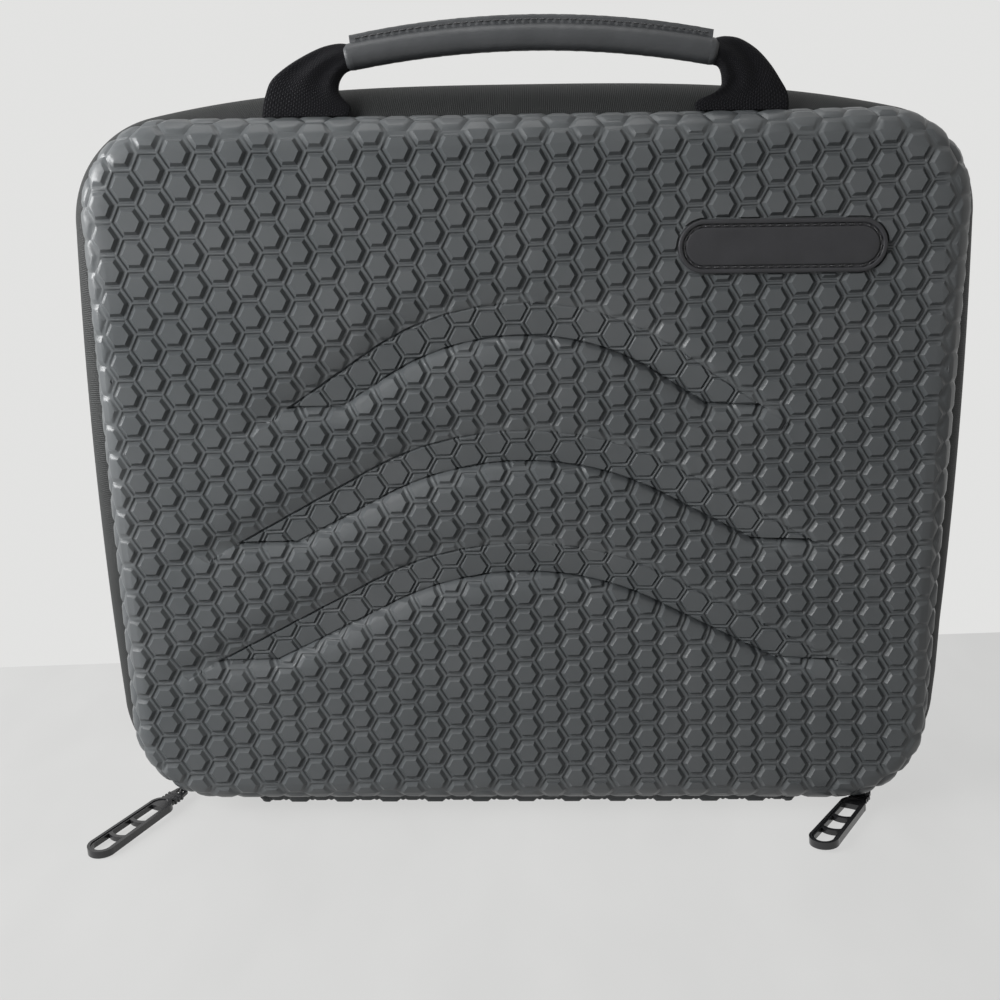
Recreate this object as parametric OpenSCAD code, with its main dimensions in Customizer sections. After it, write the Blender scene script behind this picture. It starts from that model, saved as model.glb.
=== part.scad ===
// Laptop hard case: two moulded EVA halves joined by a zip band and a hinge strip.
// X is the width, Y the depth (front at -Y), Z is up. The case stands on its hinge strip,
// and the origin is the middle of the strip's underside.

/* [Moulded halves] */
// Width of both moulded halves
body_w = 346; // [310:1:370]
// Height of both moulded halves
body_h = 289; // [270:1:320]
// Depth of the front half, rim to pads
front_depth = 16; // [14:0.5:24]
// Depth of the rear half, rim to pads
rear_depth = 16; // [14:0.5:24]
// Corner radius seen from the front
corner_r = 37; // [34:1:42]
// Radius of the rolled edge round each face
edge_r = 11; // [9:0.5:12.5]
// Height of the halves above the table
shell_lift = 7.5; // [6.5:0.5:9]

/* [Walls] */
// Textured outer skin
skin_t = 1; // [0.8:0.1:1.4]
// EVA foam behind the skin
foam_t = 5; // [4.6:0.1:6]
// Inner lining
lining_t = 1; // [0.6:0.1:1.4]
// Binding tape over the raw edge of each half
binding_t = 1.2; // [0.8:0.1:1.6]

/* [Arched steps] */
// Width of a step from its upper line to its crease
step_w = 13; // [10:0.5:15]
// Depth of a step at its crease
step_depth = 3.6; // [2:0.1:3.8]
// Crease of the top step above the middle of the face
top_step_z = 60.5; // [56:0.5:64]
// Crease of the middle step above the middle of the face
mid_step_z = 9.5; // [4:0.5:12]
// Crease of the bottom step below the middle of the face
low_step_drop = 38; // [35:0.5:44]
// Half width of the top step
top_step_half = 94; // [88:1:105]
// Half width of the middle step
mid_step_half = 118; // [110:1:130]
// Half width of the bottom step
low_step_half = 130; // [120:1:138]

/* [Badge] */
// Length of the badge
badge_w = 76.5; // [60:0.5:90]
// Height of the badge
badge_h = 20; // [16:0.5:26]
// Thickness of the badge
badge_t = 2; // [1.4:0.1:3]
// Badge centre to the right of the middle
badge_x = 99; // [90:1:106]
// Badge centre above the middle of the face
badge_z = 94.5; // [88:0.5:100]

/* [Zip band] */
// Width of the band and of the hinge strip, rim to rim
band_w = 28; // [24:1:34]
// How far the band bulges past the sides at the corners
side_bulge = 9.3; // [8:0.1:12]
// Extra bulge of the band half way up the sides
side_crown = 2.7; // [0:0.1:4]
// How far the band bulges past the top at the corners
top_bulge = 2.8; // [2:0.1:5]
// Extra rise of the band at the middle of the top
band_crown = 10.6; // [6:0.1:12]
// Height of the band above the table at the bottom corners
band_lift = 5.2; // [5:0.1:5.8]
// Thickness of the zip tape
tape_t = 1.2; // [0.9:0.1:1.5]
// Gap between the two rows of coil
coil_gap = 1.6; // [1.4:0.1:2.2]
// Thickness of the coil
coil_d = 1.4; // [1:0.1:1.6]

/* [Hinge strip] */
// Ends of the hinge strip in from the sides of the halves
strip_inset = 49.5; // [46:0.5:60]
// Thickness of the hinge strip with its pads
strip_t = 2.2; // [2:0.1:2.6]
// Thickness of the strip's inner lining
strip_lining_t = 0.8; // [0.5:0.1:1]

/* [Sliders and pulls] */
// Left slider's place on the bottom corner, degrees from the lowest point
left_park = 24; // [20:1:36]
// Right slider's place on the bottom corner, degrees from the lowest point
right_park = 17; // [17:1:30]
// Length of a slider
slider_len = 13; // [11:0.5:14]
// Width of a slider
slider_w = 9; // [8:0.5:10]
// Length of a pull from its eye to its tip
pull_len = 54; // [46:1:58]
// Width of a pull
pull_w = 12.5; // [11:0.5:13]
// Thickness of a pull
pull_t = 3.2; // [2.8:0.1:3.4]
// Reach of the wire link from the bail to the pull's eye
link_len = 10.5; // [9:0.5:12]

/* [Handle] */
// Length of the wrapped grip
grip_len = 141; // [130:1:150]
// Diameter of the wrapped grip
grip_d = 10; // [9:0.5:12]
// Height of the seam flap above the grip
flap_h = 3; // [2:0.5:4]
// Rise of the grip's arch at the middle
grip_rise = 6.5; // [3:0.5:8]
// Height of the grip's ends above the halves
grip_lift = 21.5; // [20:0.5:30]
// How far the soft handle leans to the right
grip_shift = 4; // [-5:1:5]
// Width of a webbing foot
foot_w = 32; // [28:1:40]
// Thickness of the webbing
webbing_t = 2.8; // [2.2:0.1:3]

/* [Inside] */
// Width of the laptop's elastic corner straps
strap_w = 25; // [18:1:30]
// Thickness of the elastic straps
strap_t = 1.2; // [0.8:0.1:1.6]
// Height of the lid pocket's bound edge above the middle of the face
pocket_top = 38; // [20:1:60]
// Thickness of the pocket panel
pocket_t = 0.8; // [0.6:0.1:1.2]
// Width of the pocket's bound edge
pocket_edge = 12; // [8:1:16]

/* [Hidden] */

fine = 72;                                // facets of the large round outlines
fit = 0.3;                                // running gap between pieces that move
seat = 0.05;                              // gap between pieces that lie on each other
cut = 2;                                  // overshoot of every cutting solid
seam_y = band_w / 2;                      // the rims lie this far from the middle plane
mid_z = shell_lift + body_h / 2;          // height of the middle of the faces
top_z = shell_lift + body_h;              // top of the moulded halves
wall = skin_t + foam_t + lining_t;
sew_lap = 3;                              // width of tape sewn to the end of the rim
crest_hw = body_w / 2 + side_bulge;       // half width of the band's crest
crest_top = top_z + top_bulge;
crest_r = corner_r + 7;                   // corner radius of the band's crest
arc_x = crest_hw - crest_r;               // centre of the crest's bottom corner arcs
arc_z = band_lift + crest_r;
strip_len = body_w - 2 * strip_inset;     // length of the hinge strip
end_gap = 2;                              // strip end to the first bit of zip tape
zip_start = strip_len / 2 + end_gap;
corner_steps = 14;                        // stations on a corner of the band
side_steps = 6;                           // stations along a side of the band
top_steps = 20;                           // stations along the top of the band
bulge_steps = 4;                          // steps across the bulge of one tape
crease_z = strip_t / 2;                   // height of both fold axes
strip_half = seam_y - 0.5;                // the strip stops short of its fold axes
flange_low = crease_z + norm([seam_y - strip_half, strip_t / 2]) + fit;
pad_pitch = 12;                           // centre distance of the raised hexagons
pad_w = 9.4;                              // across the flats of a raised hexagon
pad_h = 0.7;                              // height of the strip's raised hexagons
plate_t = 1.3;                            // outer and inner plate of a slider
plate_gap = 0.35;                         // outer plate above the crest
slider_grip = 12;                         // degrees of the corner that a slider takes up
belly_gap = 0.95;                         // inner plate below the coil, for the corner's curve
coil_drop = 0.35;                         // coil below its tape, clear of the tape's curl
post_t = 0.9;
tunnel = 2.3;                             // clear height under the bail
bail_t = 1.2;
bail_w = 1.6;
wire_d = 1.2;
bail_n = plate_gap + plate_t + tunnel + bail_t / 2;   // bail bar above the crest
link_half = (tunnel + bail_t) / 2 + 0.1;  // half height of the wire loop at its centreline
eye_r = 1.9;                              // eye of a pull
eye_rim = 1.3;                            // width of the ring round the eye
neck_t = 1.4;
neck_w = 7.5;
neck_len = 8;                             // eye to the wide part of a pull
side_cut = 0.06;                          // sides of a pull inside its round ends
tab_h = 1.8;                              // sewn foot of the handle, up to its fold
handle_y = -seam_y - 2.3;                 // middle of the webbing's thickness
fold_z = top_z + tab_h + fit + webbing_t / 2;   // fold axis of the handle
grip_z = top_z + grip_lift;               // centre of the grip at its ends
grip_arc = ((grip_len / 2) ^ 2 + grip_rise ^ 2) / (2 * grip_rise);
core_d = grip_d - 3.2;
shell_grey = [0.17, 0.18, 0.19];
soft_black = [0.05, 0.05, 0.06];

// ---- moulded halves, drawn with the rim at z = 0 and the face towards +z ----

module outline(inset) {
    hw = body_w / 2 - inset;
    hh = body_h / 2 - inset;
    r = corner_r - inset;
    square([2 * hw, 2 * (hh - r)], center = true);
    square([2 * (hw - r), 2 * hh], center = true);
    for (sx = [-1, 1], sy = [-1, 1])
        translate([sx * (hw - r), sy * (hh - r)]) circle(r = r, $fn = fine);
}

module quarter(r) {
    intersection() {
        circle(r = r, $fn = fine);
        square(r);
    }
}

// Solid half with rolled edges, smaller by inset on every side but the rim.
module half_solid(depth, inset) {
    roll = edge_r - inset;
    hw = body_w / 2 - inset;
    hh = body_h / 2 - inset;
    r = corner_r - inset;
    top = depth - inset;
    linear_extrude(top - roll) outline(inset);
    linear_extrude(top) outline(edge_r);
    for (sx = [0, 1], sy = [0, 1]) mirror([sx, 0, 0]) mirror([0, sy, 0]) {
        translate([hw - r, hh - r, top - roll]) rotate_extrude(angle = 90, $fn = fine)
            translate([r - roll, 0]) quarter(roll);
        translate([0, hh - roll, top - roll]) rotate([90, 0, 90])
            linear_extrude(hw - r) quarter(roll);
        translate([hw - roll, hh - r, top - roll]) rotate([90, 0, 0])
            linear_extrude(hh - r) quarter(roll);
    }
}

// One arched step: a wedge that deepens from its upper line down to the crease.
// The arch runs on in straight legs and ends on a level line at its tips.
// sink and grow offset it inwards for the back of the skin.
module arched_step(apex, crease_r, slope, half_w, depth, sink, grow) {
    rake = step_depth / step_w;
    upper_r = crease_r + step_w;
    leg = half_w / cos(slope);
    tip = upper_r * cos(slope) - (half_w - upper_r * sin(slope)) * tan(slope);
    section = [[crease_r - grow, cut], [upper_r + cut / rake, cut],
        [crease_r - grow, -step_depth - grow * rake]];
    translate([0, apex - crease_r, depth - sink]) intersection() {
        union() {
            rotate([0, 0, 90 - slope]) rotate_extrude(angle = 2 * slope, $fn = 4 * fine)
                polygon(section);
            for (side = [0, 1]) mirror([side, 0, 0])
                rotate([0, 0, 90 - slope]) rotate([90, 0, 0]) linear_extrude(leg) polygon(section);
        }
        translate([-body_w / 2, tip - grow, -2 * step_depth])
            cube([body_w, body_h, 4 * step_depth]);
    }
}

module arched_steps(sink, grow) {
    arched_step(top_step_z, 97, 34, top_step_half, front_depth, sink, grow);
    arched_step(mid_step_z, 118, 29, mid_step_half, front_depth, sink, grow);
    arched_step(-low_step_drop, 118, 28, low_step_half, front_depth, sink, grow);
}

module in_front() {
    translate([0, -seam_y, mid_z]) rotate([90, 0, 0]) children();
}

module in_rear() {
    translate([0, seam_y, mid_z]) mirror([0, 1, 0]) rotate([90, 0, 0]) children();
}

module layer(depth, outer, inner) {
    difference() {
        half_solid(depth, outer);
        translate([0, 0, -cut]) linear_extrude(2 * cut) outline(inner);
        half_solid(depth, inner);
    }
}

module rear_shell() {
    color("dimgray") in_rear() layer(rear_depth, skin_t, skin_t + foam_t);
}

module rear_skin() {
    color(shell_grey) in_rear() layer(rear_depth, 0, skin_t);
}

module rear_lining() {
    color("darkslategray") in_rear() layer(rear_depth, skin_t + foam_t, wall);
}

module front_shell() {
    color("dimgray") in_front() difference() {
        layer(front_depth, skin_t, skin_t + foam_t);
        arched_steps(skin_t, skin_t);
    }
}

module front_skin() {
    color(shell_grey) in_front() difference() {
        half_solid(front_depth, 0);
        arched_steps(0, 0);
        translate([badge_x, badge_z, front_depth - badge_sink()])
            linear_extrude(cut) pill(badge_w + 2, badge_h + 2);
        difference() {
            union() {
                half_solid(front_depth, skin_t);
                translate([0, 0, -cut]) linear_extrude(2 * cut) outline(skin_t);
            }
            arched_steps(skin_t, skin_t);
        }
    }
}

module front_lining() {
    color("darkslategray") in_front() layer(front_depth, skin_t + foam_t, wall);
}

// Binding tape on the end of each rim, inside the sewn edge of the zip tape.
module binding() {
    translate([0, 0, -binding_t]) linear_extrude(binding_t) difference() {
        outline(sew_lap + fit);
        outline(wall);
    }
}

module rear_binding() {
    color("black") in_rear() binding();
}

module front_binding() {
    color("black") in_front() binding();
}

// ---- badge ----

function badge_sink() = skin_t * 0.5;

module pill(len, high) {
    square([len - high, high], center = true);
    for (s = [-1, 1]) translate([s * (len - high) / 2, 0]) circle(d = high, $fn = fine);
}

module badge() {
    color("black") in_front() translate([badge_x, badge_z, front_depth - badge_sink()])
        difference() {
            linear_extrude(badge_t) pill(badge_w, badge_h);
            translate([0, 0, badge_t - 0.4]) linear_extrude(cut)
                pill(badge_w - 4.5, badge_h - 4.5);
        }
}

// ---- zip band: both tapes follow a path from the strip round the case ----

function corner_path(cx, cz, r, from, to) = [
    for (i = [0 : corner_steps]) let (a = from + (to - from) * i / corner_steps)
        [cx + r * cos(a), cz + r * sin(a)]];

// Rounded path from the left end of the strip to its right end. crown lifts the middle of
// the top, and belly pushes out the middle of the sides.
function band_path(hw, low, high, r, crown, belly) = let (
        tilt = atan(3 * crown / (hw - r * 0.8)),
        half = hw - r + r * sin(tilt),
        shoulder = high - r + r * cos(tilt),
        side = [for (i = [1 : side_steps - 1]) let (v = 2 * i / side_steps - 1)
            [hw + belly * (1 - v ^ 2), (low + high) / 2 + v * ((high - low) / 2 - r)]])
    concat(
        [[-zip_start, low]],
        corner_path(-hw + r, low + r, r, 270, 180),
        [for (p = side) [-p[0], p[1]]],
        corner_path(-hw + r, high - r, r, 180, 90 + tilt),
        [for (i = [1 : top_steps - 1]) let (u = 2 * i / top_steps - 1)
            [u * half, shoulder + crown * (1 - abs(u) ^ 3)]],
        corner_path(hw - r, high - r, r, 90 - tilt, 0),
        [for (i = [side_steps - 2 : -1 : 0]) side[i]],
        corner_path(hw - r, low + r, r, 0, -90),
        [[zip_start, low]]);

function seam_path(inset) = band_path(body_w / 2 - inset, shell_lift + inset,
    top_z - inset, corner_r - inset, 0, 0);

function crest_path(inset) = band_path(crest_hw - inset, band_lift + inset,
    crest_top - inset, crest_r - inset, band_crown, side_crown);

// Joins closed rings of points, one ring a station, into a solid.
module skin_rings(rings) {
    n = len(rings[0]);
    last = len(rings) - 1;
    sides = [for (i = [0 : last - 1], j = [0 : n - 1]) let (k = (j + 1) % n)
        each [[i * n + j, i * n + k, (i + 1) * n + j],
            [i * n + k, (i + 1) * n + k, (i + 1) * n + j]]];
    ends = [for (j = [0 : n / 2 - 2]) let (k = n - 2 - j, e = last * n)
        each [[k, j + 1, j], [k + 1, k, j],
            [e + j, e + j + 1, e + k], [e + j, e + k, e + k + 1]]];
    polyhedron(points = [for (ring = rings) each ring], faces = concat(sides, ends),
        convexity = 6);
}

// Stations of the band where the rear tape's ends stop: just past the parked sliders.
function left_end() = 1 + ceil((left_park + slider_grip) * corner_steps / 90);
function right_end() = band_end() - 1 - ceil((right_park + slider_grip) * corner_steps / 90);

// One tape: it leaves the rim square to it and curls over to the crest.
module zip_tape(from, to) {
    low = seam_path(sew_lap);
    crest = crest_path(0);
    under = crest_path(tape_t);
    edge = coil_gap / 2;
    reach = seam_y - edge;
    skin_rings([for (i = [from : to]) concat(
        [for (k = [0 : bulge_steps]) let (a = 90 * k / bulge_steps,
            p = low[i] + (crest[i] - low[i]) * sin(a))
            [p[0], -edge - reach * cos(a), p[1]]],
        [for (k = [bulge_steps : -1 : 0]) let (a = 90 * k / bulge_steps,
            p = low[i] + (under[i] - low[i]) * sin(a))
            [p[0], -edge - (reach - tape_t) * cos(a), p[1]]])]);
}

// The row of coil lies under the edge of its tape.
module zip_coil(from, to) {
    upper = crest_path(tape_t + coil_drop);
    lower = crest_path(tape_t + coil_drop + coil_d);
    edge = coil_gap / 2;
    skin_rings([for (i = [from : to]) [
        for (side = [[0.25, 0], [0, 0.3], [0, 0.7], [0.25, 1], [0.75, 1], [1, 0.7], [1, 0.3],
            [0.75, 0]])
            let (p = upper[i] + (lower[i] - upper[i]) * side[1])
                [p[0], -edge - coil_d * side[0], p[1]]]]);
}

// Crimped end stops on the coil, next to the strip.
module zip_stops() {
    edge = coil_gap / 2;
    for (s = [-1, 1])
        translate([s * (zip_start + 1.6), -edge - coil_d / 2 - 0.4,
            band_lift + tape_t + coil_drop + coil_d + seat + 0.5])
            cube([2.6, coil_d + 0.8, 1], center = true);
}

function band_end() = len(seam_path(0)) - 1;

module front_zip_tape() { color(soft_black) zip_tape(0, band_end()); }
module front_zip_coil() { color("black") zip_coil(0, band_end()); }

module rear_zip_tape() {
    color(soft_black) mirror([0, 1, 0]) zip_tape(left_end(), right_end());
}

module rear_zip_coil() {
    color("black") mirror([0, 1, 0]) zip_coil(left_end(), right_end());
}

// The rear tape's last lengths, which bend with the strip as the case opens.
module rear_zip_ends() {
    color(soft_black) mirror([0, 1, 0]) {
        zip_tape(0, left_end());
        zip_coil(0, left_end());
        zip_tape(right_end(), band_end());
        zip_coil(right_end(), band_end());
    }
}

module front_zip_stops() { color("gray") zip_stops(); }
module rear_zip_stops() { color("gray") mirror([0, 1, 0]) zip_stops(); }

// ---- hinge strip ----

module hinge_flange() {
    translate([-strip_len / 2, -seam_y, flange_low])
        cube([strip_len, binding_t, shell_lift + sew_lap - flange_low]);
}

module front_hinge_flange() { color(shell_grey) hinge_flange(); }
module rear_hinge_flange() { color(shell_grey) mirror([0, 1, 0]) hinge_flange(); }

// Raised hexagons on the underside, in two staggered rows.
module hinge_strip() {
    columns = floor(strip_len / 2 / (pad_pitch * cos(30)) - 0.6);
    color(shell_grey) union() {
        translate([-strip_len / 2, -strip_half, pad_h])
            cube([strip_len, 2 * strip_half, strip_t - pad_h]);
        intersection() {
            linear_extrude(strip_t - pad_h / 2) for (c = [-columns : columns], r = [-1, 0, 1])
                translate([c * pad_pitch * cos(30), (r + (c % 2 == 0 ? 0 : 0.5)) * pad_pitch])
                    circle(d = pad_w / cos(30), $fn = 6);
            translate([-strip_len / 2, -strip_half, 0]) cube([strip_len, 2 * strip_half, strip_t]);
        }
    }
}

module hinge_strip_lining() {
    color("darkslategray") translate([0, 0, strip_t + strip_lining_t / 2])
        cube([strip_len - 4, 2 * (strip_half - 1.5), strip_lining_t], center = true);
}

// ---- sliders, drawn on the crest's lowest point with the outside towards -z ----

module slider_plan() {
    w = slider_w / 2;
    l = slider_len / 2;
    polygon([[-l, -w * 0.55], [-l * 0.55, -w * 0.62], [-l * 0.1, -w], [l * 0.7, -w], [l, -w * 0.6],
        [l, w * 0.6], [l * 0.7, w], [-l * 0.1, w], [-l * 0.55, w * 0.62], [-l, w * 0.55]]);
}

module slider() {
    belly = tape_t + coil_drop + coil_d + belly_gap;
    bail_r = tunnel + bail_t;
    translate([0, 0, -plate_gap - plate_t]) linear_extrude(plate_t) slider_plan();
    translate([0, 0, belly]) linear_extrude(plate_t) slider_plan();
    translate([slider_len / 2 - 2.4, -post_t / 2, -plate_gap - plate_t / 2])
        cube([2, post_t, plate_gap + plate_t + belly]);
    difference() {
        translate([-4.4, -bail_w / 2, -plate_gap - plate_t - bail_r])
            cube([8.8, bail_w, bail_r + plate_t / 2]);
        translate([-3, -bail_w, -plate_gap - plate_t - tunnel]) cube([6, 2 * bail_w, tunnel]);
        for (s = [0, 1]) mirror([s, 0, 0])
            translate([3.4, -bail_w, -plate_gap - plate_t - bail_r - 1]) rotate([0, 35, 0])
                cube([4, 2 * bail_w, bail_r]);
    }
}

// Wire loop round the bail's bar, reaching forward; reach is its length, dip its slope.
module link(dip) {
    r = link_half;
    translate([0, 0, -bail_n]) rotate([dip, 0, 0]) for (s = [0, 1]) {
        translate([0, s == 0 ? 0 : -link_len, 0]) rotate([0, 90, 0])
            rotate([0, 0, s == 0 ? 0 : 180]) rotate_extrude(angle = 180, $fn = fine)
                translate([r, 0]) circle(d = wire_d, $fn = 24);
        translate([0, 0, s == 0 ? r : -r]) rotate([90, 0, 0])
            cylinder(d = wire_d, h = link_len, $fn = 24);
    }
}

// Two round ends of unlike size joined by straight sides.
module pull_plan(inset) {
    tip_r = pull_w / 2 - inset;
    root_r = pull_w * 0.44 - inset;
    tip_x = pull_len - pull_w / 2;
    root_x = neck_len + pull_w * 0.44;
    translate([tip_x, 0]) circle(r = tip_r, $fn = fine);
    translate([root_x, 0]) circle(r = root_r, $fn = fine);
    polygon([[root_x, root_r - side_cut], [tip_x, tip_r - side_cut],
        [tip_x, side_cut - tip_r], [root_x, side_cut - root_r]]);
}

// Flat pull with a raised rim and three windows between curved bars; its eye is at the origin.
module pull() {
    rim = 2.2;
    bar = 1.7;
    panel = 7;                            // plain end next to the neck
    windows = (pull_len - neck_len - panel - rim) / 3;
    ring = eye_r + eye_rim;
    difference() {
        union() {
            translate([0, 0, -pull_t / 2]) linear_extrude(pull_t) pull_plan(0);
            translate([0, 0, -neck_t / 2]) linear_extrude(neck_t) {
                circle(r = ring, $fn = 48);
                polygon([[0, side_cut - ring], [2.7, -neck_w / 2], [12, -neck_w / 2],
                    [12, neck_w / 2], [2.7, neck_w / 2], [0, ring - side_cut]]);
            }
            for (i = [0 : 2]) translate([3.3 + i * 2, 0, 0])
                cube([1, neck_w + 0.6, neck_t + 0.6], center = true);
        }
        translate([0, 0, -pull_t]) cylinder(r = eye_r, h = 2 * pull_t, $fn = 32);
        for (s = [-1, 1]) translate([0, 0, s * pull_t / 2 - 0.4]) linear_extrude(0.8)
            pull_plan(rim * 0.6);
        translate([0, 0, -pull_t]) linear_extrude(2 * pull_t) difference() {
            pull_plan(rim);
            translate([0, -pull_w]) square([neck_len + panel, 2 * pull_w]);
            for (i = [1, 2]) translate([neck_len + panel + i * windows - pull_w / 2, 0]) difference() {
                circle(r = pull_w / 2 + bar, $fn = 48);
                circle(r = pull_w / 2, $fn = 48);
                translate([-2 * pull_w, -pull_w]) square([2 * pull_w, 2 * pull_w]);
            }
        }
    }
}

// side is -1 on the left and 1 on the right, park the slider's angle on its corner.
module on_corner(side, park) {
    translate([side * arc_x, 0, arc_z]) rotate([0, -side * park, 0])
        translate([0, 0, -crest_r]) children();
}

left_dip = 5;                             // slope of the left link down to the table
right_dip = 0;
left_turn = 26;                           // pulls point forward and to the left
right_turn = 35;
left_slope = 2;                           // slope of the left pull down to its tip
right_slope = -0.4;
right_roll = 6;                           // the right pull leans on one edge

function bail_point(side, park) = [side * (arc_x + (crest_r + bail_n) * sin(park)), 0,
    arc_z - (crest_r + bail_n) * cos(park)];

// Centre of the link's far end, where the pull's eye hangs.
function eye_point(side, park, dip) = bail_point(side, park)
    + (link_len + link_half * 0.5) * [side * sin(dip) * sin(park), -cos(dip),
        -sin(dip) * cos(park)];

module left_slider() { color("black") on_corner(-1, left_park) mirror([1, 0, 0]) slider(); }
module right_slider() { color("black") on_corner(1, right_park) slider(); }
module left_link() { color("dimgray") on_corner(-1, left_park) link(left_dip); }
module right_link() { color("dimgray") on_corner(1, right_park) link(right_dip); }

module left_pull() {
    color("black") translate(eye_point(-1, left_park, left_dip))
        rotate([0, 0, -90 - left_turn]) rotate([0, left_slope, 0]) pull();
}

module right_pull() {
    color("black") translate(eye_point(1, right_park, right_dip))
        rotate([0, 0, -90 - right_turn]) rotate([right_roll, right_slope, 0]) pull();
}

// ---- handle ----

module grip_sweep() {
    half = asin(grip_len / 2 / grip_arc);
    translate([grip_shift, handle_y, grip_z + grip_rise - grip_arc]) rotate([90, 0, 0])
        rotate([0, 0, 90 - half]) rotate_extrude(angle = 2 * half, $fn = 720)
            translate([grip_arc, 0]) children();
}

module handle_grip() {
    color([0.2, 0.2, 0.21]) grip_sweep() difference() {
        union() {
            circle(d = grip_d, $fn = 48);
            translate([0, -1]) square([grip_d / 2 + flap_h, 2]);
        }
        circle(d = core_d + 2 * seat, $fn = 48);
    }
}

module handle_core() {
    color("gray") grip_sweep() circle(d = core_d, $fn = 48);
}

// Webbing gathered from a flat foot up to the end of the grip, which leans out by lean.
module webbing(lean) {
    foot_x = grip_len / 2 - 1.5;
    end_x = grip_len / 2 + lean;
    end_r = grip_d * 0.42;
    end_tilt = asin(grip_len / 2 / grip_arc);   // slope of the grip's ends
    bend_z = (fold_z + grip_z) / 2 + 1;
    hull() {
        translate([foot_x, handle_y, fold_z]) rotate([0, 90, 0])
            cylinder(d = webbing_t, h = foot_w, $fn = 16);
        translate([foot_x + 3 + lean / 3, handle_y - webbing_t * 0.8, bend_z])
            cube([foot_w - 8, webbing_t * 1.6, 1]);
    }
    hull() {
        translate([foot_x + 3 + lean / 3, handle_y - webbing_t * 0.8, bend_z])
            cube([foot_w - 8, webbing_t * 1.6, 1]);
        translate([end_x + fit, handle_y, grip_z]) rotate([0, 90 + end_tilt, 0])
            cylinder(r = end_r, h = 2, $fn = 16);
        translate([end_x + 9, handle_y, grip_z - 2.5]) rotate([0, 90, 0])
            cylinder(r = end_r * 0.8, h = 2, $fn = 16);
    }
}

module handle_webbing_right() { color("black") webbing(grip_shift); }
module handle_webbing_left() { color("black") mirror([1, 0, 0]) webbing(-grip_shift); }

module handle_tabs() {
    color("black") for (s = [-1, 1])
        translate([s * (grip_len / 2 - 1.5 + foot_w / 2), handle_y, top_z + tab_h / 2 + seat / 2])
            cube([foot_w, webbing_t, tab_h - seat], center = true);
}

// ---- inside ----

// Elastic straps across the corners of the rear half.
module corner_straps() {
    reach = 96;
    color("black") in_rear() intersection() {
        translate([0, 0, 1]) linear_extrude(strap_t) outline(wall + seat);
        for (sx = [-1, 1], sy = [-1, 1])
            translate([sx * body_w / 2, sy * body_h / 2, 0]) rotate([0, 0, 45])
                translate(sx == sy ? [-sx * (reach / 2 + strap_w) - strap_w / 2, -reach, 0]
                    : [-reach, -sy * (reach / 2 + strap_w) - strap_w / 2, 0])
                    cube(sx == sy ? [strap_w, 2 * reach, 4] : [2 * reach, strap_w, 4]);
    }
}

module lid_pocket() {
    color([0.25, 0.26, 0.28]) in_front() translate([0, 0, 1]) linear_extrude(pocket_t)
        intersection() {
            outline(wall + seat);
            translate([-body_w / 2, -body_h / 2]) square([body_w, body_h / 2 + pocket_top]);
        }
}

module lid_pocket_edge() {
    color("black") in_front() translate([0, 0, 0.2]) linear_extrude(0.8 - seat) intersection() {
        outline(wall + seat);
        translate([-body_w / 2, pocket_top - pocket_edge]) square([body_w, pocket_edge]);
    }
}

rear_shell();
rear_skin();
rear_lining();
rear_binding();
rear_zip_tape();
rear_zip_coil();
rear_zip_ends();
rear_hinge_flange();
rear_zip_stops();
corner_straps();
hinge_strip();
hinge_strip_lining();
front_shell();
front_skin();
front_lining();
front_binding();
front_zip_tape();
front_zip_coil();
front_hinge_flange();
front_zip_stops();
badge();
lid_pocket();
lid_pocket_edge();
handle_tabs();
handle_grip();
handle_core();
handle_webbing_left();
handle_webbing_right();
left_slider();
left_link();
left_pull();
right_slider();
right_link();
right_pull();
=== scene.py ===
"""Looks of the laptop case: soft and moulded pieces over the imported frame."""
import math

import bmesh
import bpy
from mathutils import Matrix, Vector, geometry


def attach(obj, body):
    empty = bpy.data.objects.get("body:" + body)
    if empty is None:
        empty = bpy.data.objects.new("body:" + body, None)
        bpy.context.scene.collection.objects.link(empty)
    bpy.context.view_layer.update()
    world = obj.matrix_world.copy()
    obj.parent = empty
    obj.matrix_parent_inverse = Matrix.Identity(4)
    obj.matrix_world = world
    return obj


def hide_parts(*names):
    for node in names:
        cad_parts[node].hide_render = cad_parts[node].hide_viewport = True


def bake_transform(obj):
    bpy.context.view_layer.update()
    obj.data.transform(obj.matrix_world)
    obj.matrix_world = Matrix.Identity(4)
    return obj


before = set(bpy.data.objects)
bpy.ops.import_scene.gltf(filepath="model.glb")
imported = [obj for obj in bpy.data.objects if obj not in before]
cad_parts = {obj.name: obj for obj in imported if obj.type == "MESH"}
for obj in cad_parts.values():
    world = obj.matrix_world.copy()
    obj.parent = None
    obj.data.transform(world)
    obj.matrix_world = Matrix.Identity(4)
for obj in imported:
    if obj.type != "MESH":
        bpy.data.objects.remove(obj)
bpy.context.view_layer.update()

# ---- sizes in millimetres, as in the part ----
MM = 0.001
HALF_W, HALF_H, DEPTH = 173.0, 144.5, 16.0
CORNER_R, EDGE_R, WALL, FOAM_BACK = 37.0, 11.0, 7.0, 6.0
SEAM_Y, MID_Z, TOP_Z, LOW_Z = 14.0, 152.0, 296.5, 7.5
FLAT_X, FLAT_Z, FLAT_R = HALF_W - CORNER_R, HALF_H - CORNER_R, CORNER_R - EDGE_R
RIM = EDGE_R * math.pi / 2 + DEPTH - EDGE_R      # unrolled way from the flat to the rim
ROLL_WAYS = [EDGE_R * math.pi / 2 * k / 6 for k in range(7)] + [RIM]
PITCH, COLUMN = 11.965, math.sqrt(0.75)          # of the hexagons; columns lie closer than rows
TILT = math.radians(1.534)
CELL_X, CELL_Z = 2.16, 148.15                    # where the hexagons' grid has its middle
GRID_X, GRID_Z = 13.30, 11.4                     # cells from the grid's corner to its middle
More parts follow.
